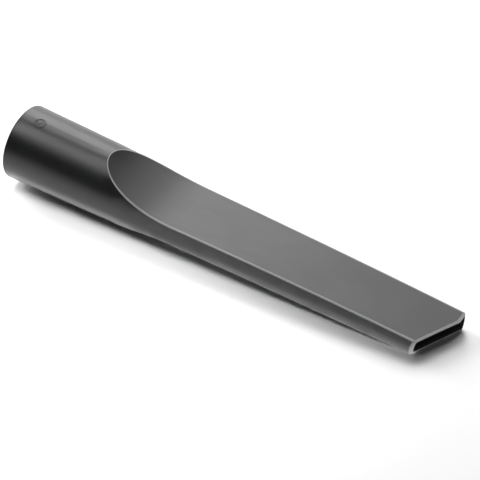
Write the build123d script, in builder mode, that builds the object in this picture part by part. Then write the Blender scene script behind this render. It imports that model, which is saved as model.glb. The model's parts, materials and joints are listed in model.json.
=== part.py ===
from build123d import *
import math
import os

os.makedirs("parts", exist_ok=True)

# A flat crevice nozzle for a vacuum cleaner, moulded in one piece.
# Lengths in mm, angles in degrees.  "x" below runs along the tube's own axis,
# from the socket's rim to the tip.

# tapered round tube
rim_radius = 19.5          # outside, at the socket's rim
draft = 0.95               # taper of the outside, per side
rim_round = 1.0            # outer edge of the socket's rim

# socket
bore_radius = 17.5         # takes a 35 mm wand end
bore_depth = 36.0          # straight land, down to the stop shoulder
lead_in = 0.8              # chamfer at the mouth of the socket
lead_in_angle = 30.0

# flat blade: two faces scooped out of the tube
scoop_radius = 92.0        # both scoops, seen from the side
scoop_end = 98.0           # x where the scoops run into the flat faces
upper_height = 6.38        # of the upper face above the tube's axis at scoop_end
upper_bow = 3.0            # drop of the upper face from there to the end
lower_height = 5.30        # of the lower face below the axis at scoop_end
lower_bow = 1.9            # drop of the lower face from there to the end
blade_end = 246.0          # x where the bows are measured
edge_round = 1.0           # long edges, scoop rims and lips

# mouth: cut askew across the blade, its upper lip a little ahead, its long corner squared off
mouth_near = 231.25        # x of the short side's upper corner
mouth_skew = 0.474         # forward run of the mouth per mm across
mouth_lean = 0.190         # forward run per mm of height
mouth_stop = 242.3         # x of the squared end
long_corner = 1.3          # round of the long side's corner
blend_corner = 1.1         # round between the squared end and the skewed mouth
short_corner = 1.6         # round of the short side's corner

# walls
stop_wall = 2.05           # beside the stop shoulder in the socket
tip_wall = 1.35            # sides of the blade at its end
face_wall = 1.65
core_round = 0.7

# how it lies: on the lower scoop's rim and the two lower corners of the mouth
rest_pitch = 3.620
rest_roll = 2.3495
rest_height = 21.790
rest_shift = -120.424

body_length = 262.0        # of the blank, before the mouth is cut
taper = math.tan(math.radians(draft))


def outside_radius(x):
    return rim_radius - taper * x


pitch, roll = math.radians(rest_pitch), math.radians(rest_roll)
along = Vector(math.cos(pitch), 0, -math.sin(pitch))
up = Vector(math.sin(pitch) * math.cos(roll), -math.sin(roll), math.cos(pitch) * math.cos(roll))
across = up.cross(along)
base = Vector(rest_shift, 0, rest_height)

side = Plane(origin=base, x_dir=along, z_dir=across * -1)
plan = Plane(origin=base, x_dir=along, z_dir=up)
tube_axis = Axis(base, along)


def bow_point(height, bow, x, sign):
    # a shallow parabola-like bow, level at scoop_end
    return sign * height - bow * ((x - scoop_end) / (blade_end - scoop_end)) ** 2


def flats(inset, start, stop):
    # side outline between the upper and lower face, moved in by inset
    reach = 58.0
    r = scoop_radius + inset
    rise = r - math.sqrt(r * r - reach * reach)
    hu, hl = upper_height - inset, lower_height - inset
    mid = (scoop_end + stop) / 2
    with BuildLine(Plane.XY) as outline:
        u0 = (scoop_end - reach, hu + rise)
        u1 = (scoop_end, hu)
        CenterArc((scoop_end, hu + r), r, -90 - math.degrees(math.asin(reach / r)), math.degrees(math.asin(reach / r)))
        u2 = (stop, bow_point(hu, upper_bow, stop, 1))
        ThreePointArc(u1, (mid, bow_point(hu, upper_bow, mid, 1)), u2)
        l2 = (stop, bow_point(hl, lower_bow, stop, -1))
        l1 = (scoop_end, -hl)
        Line(u2, l2)
        ThreePointArc(l2, (mid, bow_point(hl, lower_bow, mid, -1)), l1)
        l0 = (scoop_end - reach, -hl - rise)
        CenterArc((scoop_end, -hl - r), r, 90, math.degrees(math.asin(reach / r)))
        Polyline(l0, (l0[0], -30), (start, -30), (start, 30), (u0[0], 30), u0)
    return outline.line


# plane of the mouth
mouth_dir_across = along * mouth_skew + across
mouth_dir_up = along * mouth_lean + up
mouth_normal = mouth_dir_across.cross(mouth_dir_up).normalized()
corner_height = bow_point(upper_height, upper_bow, mouth_near, 1)
corner_across = -math.sqrt(outside_radius(mouth_near) ** 2 - corner_height**2)
mouth_corner = base + along * mouth_near + across * corner_across + up * corner_height
mouth = Plane(origin=mouth_corner, z_dir=mouth_normal)

# core of the mould: the air passage from the stop shoulder to the mouth
with BuildPart() as core:
    with BuildSketch(side):
        with BuildLine():
            Polyline(
                (bore_depth - 2, 0),
                (bore_depth - 2, outside_radius(bore_depth - 2) - stop_wall),
                (body_length, outside_radius(body_length) - tip_wall),
                (body_length, 0),
                close=True,
            )
        make_face()
    revolve(axis=tube_axis)
    with BuildSketch(side):
        add(flats(face_wall, 0, body_length + 4))
        make_face()
    extrude(amount=30, both=True, mode=Mode.INTERSECT)
    core_faces = core.faces().filter_by(GeomType.CYLINDER)
    core_edges = [e for e in core.edges() if sum(e in f.edges() for f in core_faces) == 1 and e.length > 12]
    fillet(core_edges, core_round)

with BuildPart() as nozzle:
    # tapered tube
    with BuildSketch(side):
        with BuildLine():
            Polyline((0, 0), (0, rim_radius), (body_length, outside_radius(body_length)), (body_length, 0), close=True)
        make_face()
    revolve(axis=tube_axis)
    # upper and lower face with their scoops
    with BuildSketch(side):
        add(flats(0, -5, body_length + 4))
        make_face()
    extrude(amount=30, both=True, mode=Mode.INTERSECT)
    # mouth and its corners
    split(bisect_by=mouth, keep=Keep.BOTTOM)
    split(bisect_by=Plane(origin=base + along * mouth_stop, z_dir=along), keep=Keep.BOTTOM)
    for radius, corner in ((long_corner, -1), (blend_corner, 0)):
        square_end = nozzle.faces().filter_by(GeomType.PLANE).sort_by(tube_axis)[-1]
        fillet(square_end.edges().sort_by(Axis(base, across))[corner], radius)
    lip = nozzle.faces().filter_by(GeomType.PLANE).sort_by(tube_axis)[-2]
    fillet(lip.edges().sort_by(Axis(base, across))[0], short_corner)
    # long edges, scoop rims and lips, as two closed runs
    face_side = nozzle.faces().filter_by(lambda f: abs(f.normal_at().dot(up)) > 0.8 and f.geom_type == GeomType.CYLINDER)
    runs = [e for e in nozzle.edges() if sum(e in f.edges() for f in face_side) == 1]
    fillet(runs, edge_round)
    rim = nozzle.faces().filter_by(GeomType.PLANE).sort_by(tube_axis)[0]
    fillet(rim.edges(), rim_round)
    # air passage and socket
    add(core.part, mode=Mode.SUBTRACT)
    with BuildSketch(side):
        with BuildLine():
            Polyline(
                (-1, 0),
                (-1, bore_radius + (lead_in + 1) * math.tan(math.radians(lead_in_angle))),
                (lead_in, bore_radius),
                (bore_depth, bore_radius),
                (bore_depth, 0),
                close=True,
            )
        make_face()
    revolve(axis=tube_axis, mode=Mode.SUBTRACT)

nozzle.part.label = "nozzle"
export_step(nozzle.part, "parts/nozzle.step")
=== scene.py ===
import json
import math

import bmesh
import bpy
from mathutils import Matrix, Vector


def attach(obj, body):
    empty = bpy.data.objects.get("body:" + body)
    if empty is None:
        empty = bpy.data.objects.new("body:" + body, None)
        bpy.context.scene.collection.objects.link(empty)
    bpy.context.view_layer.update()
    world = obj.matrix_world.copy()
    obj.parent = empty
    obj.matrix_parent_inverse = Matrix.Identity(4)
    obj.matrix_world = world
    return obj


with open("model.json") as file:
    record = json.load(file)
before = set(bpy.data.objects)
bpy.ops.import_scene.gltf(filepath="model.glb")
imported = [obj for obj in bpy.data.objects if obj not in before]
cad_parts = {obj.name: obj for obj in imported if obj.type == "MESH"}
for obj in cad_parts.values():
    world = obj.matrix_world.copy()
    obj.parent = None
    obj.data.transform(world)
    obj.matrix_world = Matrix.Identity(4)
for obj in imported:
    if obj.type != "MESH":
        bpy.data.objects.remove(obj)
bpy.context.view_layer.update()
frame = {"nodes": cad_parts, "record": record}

scene = bpy.context.scene
nozzle = frame["nodes"]["nozzle"]


# ------------------------------------------------------------------ the tube's own frame, in mm: x from the rim to the tip, y across, z up
socket = frame["record"]["mounts"][0]
along = -Vector(socket["axis"]).normalized()
rim = Vector(socket["pos_m"]) - along * 0.0184
level = Vector((0, 0, 1)).cross(along).normalized()
ROLL = math.radians(2.3495)
above = along.cross(level)
across = level * math.cos(ROLL) + above * math.sin(ROLL)
upper = along.cross(across)
TAPER = math.tan(math.radians(0.95))
ROUGH = 0.33


# ------------------------------------------------------------------ material
def moulded_plastic(name):
    """Charcoal polypropylene with a satin spark-eroded skin, as it leaves the mould."""
    m = bpy.data.materials.new(name)
    m.use_nodes = True
    nt = m.node_tree
    bsdf = nt.nodes["Principled BSDF"]
    bsdf.inputs["IOR"].default_value = 1.45

    def node(kind, **sockets):
        n = nt.nodes.new(kind)
        for k, v in sockets.items():
            n.inputs[k.replace("_", " ")].default_value = v
        return n

    def link(a, b):
        nt.links.new(a, b)

    coord = node("ShaderNodeTexCoord")
    in_mm = node("ShaderNodeMapping")
    in_mm.inputs["Scale"].default_value = (1000, 1000, 1000)
    link(coord.outputs["Object"], in_mm.inputs["Vector"])
    drawn = node("ShaderNodeMapping")
    drawn.inputs["Scale"].default_value = (25, 900, 900)
    link(coord.outputs["Object"], drawn.inputs["Vector"])

    def noise(space, scale, detail, rough, distortion=0.0):
        n = node("ShaderNodeTexNoise", Scale=scale, Detail=detail, Roughness=rough, Distortion=distortion)
        link(space.outputs["Vector"], n.inputs["Vector"])
        return n.outputs["Fac"]

    def spread(value, a, b, lo, hi):
        n = node("ShaderNodeMapRange")
        n.inputs["From Min"].default_value, n.inputs["From Max"].default_value = a, b
        n.inputs["To Min"].default_value, n.inputs["To Max"].default_value = lo, hi
        link(value, n.inputs["Value"])
        return n.outputs["Result"]

    def math_node(op, *args):
        n = node("ShaderNodeMath")
        n.operation = op
        for i, a in enumerate(args):
            if isinstance(a, (int, float)):
                n.inputs[i].default_value = a
            else:
                link(a, n.inputs[i])
        return n.outputs["Value"]

    # how near a point of the skin is to an outer edge: the depth under the two surfaces that meet there, added up
    turn = Matrix((along, across, upper))
    tube = node("ShaderNodeMapping")
    tube.inputs["Scale"].default_value = (1000, 1000, 1000)
    tube.inputs["Rotation"].default_value = turn.to_euler("XYZ")
    tube.inputs["Location"].default_value = -(turn @ rim) * 1000
    link(coord.outputs["Object"], tube.inputs["Vector"])
    split = node("ShaderNodeSeparateXYZ")
    link(tube.outputs["Vector"], split.inputs["Vector"])
    x, y, z = (split.outputs[k] for k in "XYZ")
    past = math_node("SUBTRACT", x, 98.0)
    scoop = math_node("MINIMUM", past, 0.0)
    depth = math_node("SQRT", math_node("SUBTRACT", 92.0**2, math_node("MULTIPLY", scoop, scoop)))
    rise = math_node("SUBTRACT", 92.0, depth)
    run = math_node("MAXIMUM", past, 0.0)
    bow = math_node("MULTIPLY", math_node("MULTIPLY", run, run), 1 / 148.0**2)
    top = math_node("SUBTRACT", math_node("ADD", rise, 6.38), math_node("MULTIPLY", bow, 3.0))
    low = math_node("ADD", math_node("ADD", rise, 5.30), math_node("MULTIPLY", bow, 1.9))
    radius = math_node("SQRT", math_node("ADD", math_node("MULTIPLY", y, y), math_node("MULTIPLY", z, z)))
    skin = math_node("SUBTRACT", math_node("SUBTRACT", 19.5, math_node("MULTIPLY", x, TAPER)), radius)
    under_top = math_node("SUBTRACT", top, z)
    over_low = math_node("ADD", low, z)
    mouth = math_node("ADD", math_node("MULTIPLY", y, 0.474), math_node("MULTIPLY", z, 0.190))
    mouth = math_node("SUBTRACT", math_node("ADD", mouth, 231.25 + 0.474 * 15.16 - 0.190 * 3.95), x)
    mouth = math_node("MINIMUM", math_node("MULTIPLY", mouth, 0.890), math_node("SUBTRACT", 242.3, x))
    # ... and on the long edges and scoop rims measured against the angle at which the two surfaces meet
    meet = math_node("DIVIDE", math_node("MULTIPLY", math_node("MULTIPLY", depth, 1 / 92.0), math_node("ABSOLUTE", z)), radius)
    turned = math_node("SUBTRACT", 1.0, meet)
    upper_edge = math_node("DIVIDE", math_node("ADD", skin, under_top), turned)
    upper_flank = math_node("DIVIDE", under_top, turned)
    lower_edge = math_node("DIVIDE", math_node("ADD", skin, over_low), turned)
    lip_edge = math_node("ADD", mouth, math_node("MINIMUM", skin, math_node("MINIMUM", under_top, over_low)))
    rim_edge = math_node("ADD", skin, x)

    spark = noise(in_mm, 2.4, 3.0, 0.55)             # pits of the spark-eroded skin, about 0.4 mm
    peel = noise(in_mm, 0.55, 2.0, 0.5)              # slow unevenness under them, about 2 mm
    flow = noise(in_mm, 0.028, 3.0, 0.5, 0.6)        # clouds where the melt ran, 30 to 40 mm
    wipe = noise(drawn, 1.0, 3.0, 0.6)               # faint lengthwise marks of drawing and handling

    rub_and_highlight_breakup = noise(in_mm, 0.35, 4.0, 0.65)              # patches a few mm long that break up the pale edges, as rubbed wear and painted highlight alike
    rub_and_highlight_breakup = spread(rub_and_highlight_breakup, 0.3, 0.7, -0.07, 0.07)
    # pale edges: a painted highlight on the rounds of the long edges, the lips, the lower lip and the socket rim,
    # partly standing for rubbed wear
    edge_wear_and_painted_highlight = math_node("MULTIPLY", spread(math_node("ADD", upper_edge, rub_and_highlight_breakup), 1.50, 1.00, 0.0, 1.0), spread(upper_flank, 0.90, 0.60, 0.0, 1.0))
    edge_wear_and_painted_highlight = math_node("MAXIMUM", edge_wear_and_painted_highlight, spread(math_node("ADD", lower_edge, rub_and_highlight_breakup), 1.30, 0.85, 0.0, 1.0))
    edge_wear_and_painted_highlight = math_node("MAXIMUM", edge_wear_and_painted_highlight, spread(math_node("ADD", lip_edge, rub_and_highlight_breakup), 1.25, 0.80, 0.0, 1.0))
    lower_lip = math_node("ADD", math_node("ADD", mouth, over_low), rub_and_highlight_breakup)
    lower_lip = math_node("MULTIPLY", spread(lower_lip, 2.05, 1.65, 0.0, 1.0), spread(mouth, 0.50, 0.25, 0.0, 1.0))
    edge_wear_and_painted_highlight = math_node("MAXIMUM", edge_wear_and_painted_highlight, lower_lip)
    edge_wear_and_painted_highlight = math_node("MAXIMUM", edge_wear_and_painted_highlight, spread(math_node("ADD", rim_edge, rub_and_highlight_breakup), 0.90, 0.60, 0.0, 0.5))

    # colour: charcoal, a little lighter in the clouds and on the peaks of the skin
    tone = math_node("ADD", spread(flow, 0.3, 0.7, 0.0, 0.7), spread(spark, 0.3, 0.7, 0.0, 0.3))
    ramp = node("ShaderNodeValToRGB")
    ramp.color_ramp.elements[0].color = (0.0066, 0.0068, 0.0070, 1)
    ramp.color_ramp.elements[1].color = (0.0118, 0.0121, 0.0123, 1)
    link(tone, ramp.inputs["Fac"])
    # painted highlight: those edges are mixed towards pale grey, partly as wear
    pale = node("ShaderNodeMix")
    pale.data_type = "RGBA"
    link(edge_wear_and_painted_highlight, pale.inputs["Factor"])
    link(ramp.outputs["Color"], pale.inputs["A"])
    pale.inputs["B"].default_value = (0.235, 0.238, 0.240, 1)
    link(pale.outputs["Result"], bsdf.inputs["Base Color"])

    # gloss: satin, broken up at each of those scales
    gloss = math_node("ADD", spread(flow, 0.3, 0.7, ROUGH - 0.03, ROUGH + 0.03), spread(wipe, 0.35, 0.7, -0.012, 0.035))
    gloss = math_node("ADD", gloss, spread(spark, 0.3, 0.7, -0.03, 0.03))
    link(gloss, bsdf.inputs["Roughness"])

    # relief
    slow = node("ShaderNodeBump", Strength=0.10, Distance=0.00004)
    link(peel, slow.inputs["Height"])
    fine = node("ShaderNodeBump", Strength=0.22, Distance=0.00002)
    link(spark, fine.inputs["Height"])
    link(slow.outputs["Normal"], fine.inputs["Normal"])
    link(fine.outputs["Normal"], bsdf.inputs["Normal"])
    return m


shell = moulded_plastic("shell")
nozzle.data.materials.clear()
nozzle.data.materials.append(shell)

# ------------------------------------------------------------------ mould dial
# A plain round mould insert raised on the tube beside the socket: a ring, twelve ticks and a pointer.
DIAL_X, DIAL_ANGLE = 0.0114, math.radians(85.0)


def on_tube(u, v, h):
    """A point u along the tube from the dial's middle, v round it, h above its skin."""
    x = DIAL_X + u
    r = 0.0195 - TAPER * x
    a = DIAL_ANGLE + v / r
    return rim + along * x + (upper * math.sin(a) - across * math.cos(a)) * (r + h)


def raised(bm, outline, height, sink, draft):
    """A closed plate on the tube with that outline, its walls leaning in by draft."""
    cu = sum(p[0] for p in outline) / len(outline)
    cv = sum(p[1] for p in outline) / len(outline)
    n = len(outline)
    rings = []
    for h, inset in ((-sink, 0.0), (height * 0.75, draft * 0.7), (height, draft * 1.6)):
        ring = []
        for i, (u, v) in enumerate(outline):
            d = math.hypot(u - cu, v - cv)
            k = max(0.0, 1 - inset / d)
            ring.append(bm.verts.new(on_tube(cu + (u - cu) * k, cv + (v - cv) * k, h)))
        rings.append(ring)
    for a, b in zip(rings, rings[1:]):
        for i in range(n):
            bm.faces.new((a[i], a[(i + 1) % n], b[(i + 1) % n], b[i]))
    bm.faces.new(list(reversed(rings[0])))
    bm.faces.new(rings[-1])


bm = bmesh.new()
mm = 0.001
profile = ((-0.30, -0.20), (-0.24, 0.13), (-0.14, 0.19), (0.14, 0.19), (0.24, 0.13), (0.30, -0.20))
loops = []
for i in range(72):
    t = 2 * math.pi * i / 72
    loops.append([bm.verts.new(on_tube((2.85 + p) * mm * math.cos(t), (2.85 + p) * mm * math.sin(t), h * mm)) for p, h in profile])
for i in range(72):
    a, b = loops[i], loops[(i + 1) % 72]
    for j in range(len(profile)):
        k = (j + 1) % len(profile)
        bm.faces.new((a[j], a[k], b[k], b[j]))
for i in range(12):
    t = 2 * math.pi * i / 12
    c, s = math.cos(t), math.sin(t)
    bar = ((1.75, -0.15), (2.25, -0.15), (2.25, 0.15), (1.75, 0.15))
    raised(bm, [((p * c - q * s) * mm, (p * s + q * c) * mm) for p, q in bar], 0.17 * mm, 0.2 * mm, 0.05 * mm)
t = math.radians(60)
c, s = math.cos(t), math.sin(t)
arrow = ((-1.2, -0.17), (0.35, -0.17), (0.35, -0.55), (1.35, 0.0), (0.35, 0.55), (0.35, 0.17), (-1.2, 0.17))
raised(bm, [((p * c - q * s) * mm, (p * s + q * c) * mm) for p, q in arrow], 0.19 * mm, 0.2 * mm, 0.04 * mm)
bmesh.ops.recalc_face_normals(bm, faces=bm.faces)
me = bpy.data.meshes.new("mould_dial")
bm.to_mesh(me)
bm.free()
dial = bpy.data.objects.new("mould_dial", me)
scene.collection.objects.link(dial)
me.materials.append(shell)
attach(dial, "root")

# ------------------------------------------------------------------ floor
me = bpy.data.meshes.new("floor")
s = 1.2
me.from_pydata([(-s, -s, 0), (s, -s, 0), (s, s, 0), (-s, s, 0)], [], [(0, 1, 2, 3)])
floor = bpy.data.objects.new("floor", me)
scene.collection.objects.link(floor)
paper = bpy.data.materials.new("floor")
paper.use_nodes = True
paper.node_tree.nodes["Principled BSDF"].inputs["Base Color"].default_value = (0.93, 0.93, 0.93, 1)
paper.node_tree.nodes["Principled BSDF"].inputs["Roughness"].default_value = 1.0
paper.node_tree.nodes["Principled BSDF"].inputs["Specular IOR Level"].default_value = 0.0
me.materials.append(paper)

# ------------------------------------------------------------------ camera
azimuth, elevation, distance = math.radians(31.757), math.radians(41.480), 1.2098
back = Vector((math.sin(azimuth) * math.cos(elevation), -math.cos(azimuth) * math.cos(elevation), math.sin(elevation)))
right = Vector((math.cos(azimuth), math.sin(azimuth), 0))
up = back.cross(right)
middle = Vector((0, 0, 0.015))
aim = middle + right * 0.005207 - up * 0.002879
cam_data = bpy.data.cameras.new("camera")
cam_data.sensor_width = 36
cam_data.lens = 187.5
camera = bpy.data.objects.new("camera", cam_data)
scene.collection.objects.link(camera)
camera.location = middle + back * distance
camera.rotation_euler = (aim - camera.location).to_track_quat("-Z", "Y").to_euler()
scene.camera = camera

# ------------------------------------------------------------------ light
behind = Vector((-back.x, -back.y, 0)).normalized()


def softbox(name, turn, rise, size, radiance, reach=1.5):
    """A softbox that faces the object, turn degrees to the right of straight behind it, rise degrees up."""
    a, e = math.radians(turn), math.radians(rise)
    d = (behind * math.cos(a) + right * math.sin(a)) * math.cos(e) + Vector((0, 0, math.sin(e)))
    light = bpy.data.lights.new(name, "AREA")
    light.shape = "RECTANGLE"
    light.size, light.size_y = size
    light.energy = math.pi * size[0] * size[1] * radiance
    o = bpy.data.objects.new(name, light)
    scene.collection.objects.link(o)
    o.location = d * reach
    o.rotation_euler = (-d).to_track_quat("-Z", "Y").to_euler()
    return o


def only(o, *pieces):
    """This light reaches those pieces and nothing else."""
    lit = bpy.data.collections.new(o.name)
    for piece in pieces:
        lit.objects.link(piece)
    o.light_linking.receiver_collection = lit
    return o


only(softbox("key", 310, 23, (0.58, 1.2), 10.5), floor)
softbox("back", -2, 44, (0.62, 1.2), 6.4)
softbox("back_low", 0, 12, (0.58, 0.58), 2.3)
softbox("back_right", 34, 44, (0.62, 1.1), 2.9)
only(softbox("band", 283, 63, (0.62, 0.9), 5.2), nozzle, dial)
only(softbox("band_low", 242, 58, (0.6, 0.55), 2.0), nozzle, dial)
only(softbox("lip", 108, 50, (0.7, 0.7), 5.2), nozzle, dial)
only(softbox("corner", 125, 14, (0.58, 0.58), 1.6), nozzle, dial)
only(softbox("socket", 310, 23, (0.58, 0.6), 1.4), nozzle, dial)
only(softbox("table", 0, 66, (0.6, 0.6), 5.5), floor)

# a small gridded box hung high in front of the socket, for the table there
fill = only(softbox("fill", 205, 71, (0.19, 0.19), 1.25, 0.45), floor)
fill.location += Vector((-0.066, 0.0, 0.0))
fill.data.spread = math.radians(42)


def bounce(name, at, size, radiance, yaw=0.0):
    """What the pale table beside the nozzle throws back up at it."""
    light = bpy.data.lights.new(name, "AREA")
    light.shape = "RECTANGLE"
    light.size, light.size_y = size
    light.energy = math.pi * size[0] * size[1] * radiance
    o = only(bpy.data.objects.new(name, light), nozzle, dial)
    scene.collection.objects.link(o)
    o.location = at
    o.rotation_euler = (math.pi, 0, math.radians(yaw))
    o.visible_camera = False


bounce("bounce_tube", (-0.0675, -0.0195, 0.0002), (0.115, 0.010), 1.05)
bounce("bounce_blade", (0.061, -0.0186, 0.0002), (0.142, 0.0105), 1.4, 2.2)
bounce("bounce_tip", (0.140, -0.004, 0.0002), (0.022, 0.044), 2.2)

world = bpy.data.worlds.new("studio")
scene.world = world
world.use_nodes = True
world.node_tree.nodes["Background"].inputs["Color"].default_value = (1, 1, 1, 1)
world.node_tree.nodes["Background"].inputs["Strength"].default_value = 0.012
# a pale wall beyond the floor, seen by the camera only
wall = world.node_tree.nodes.new("ShaderNodeBackground")
wall.inputs["Color"].default_value = (0.86, 0.86, 0.86, 1)
seen = world.node_tree.nodes.new("ShaderNodeLightPath")
either = world.node_tree.nodes.new("ShaderNodeMixShader")
world.node_tree.links.new(seen.outputs["Is Camera Ray"], either.inputs["Fac"])
world.node_tree.links.new(world.node_tree.nodes["Background"].outputs["Background"], either.inputs[1])
world.node_tree.links.new(wall.outputs["Background"], either.inputs[2])
world.node_tree.links.new(either.outputs["Shader"], world.node_tree.nodes["World Output"].inputs["Surface"])
scene.view_settings.view_transform = "Standard"
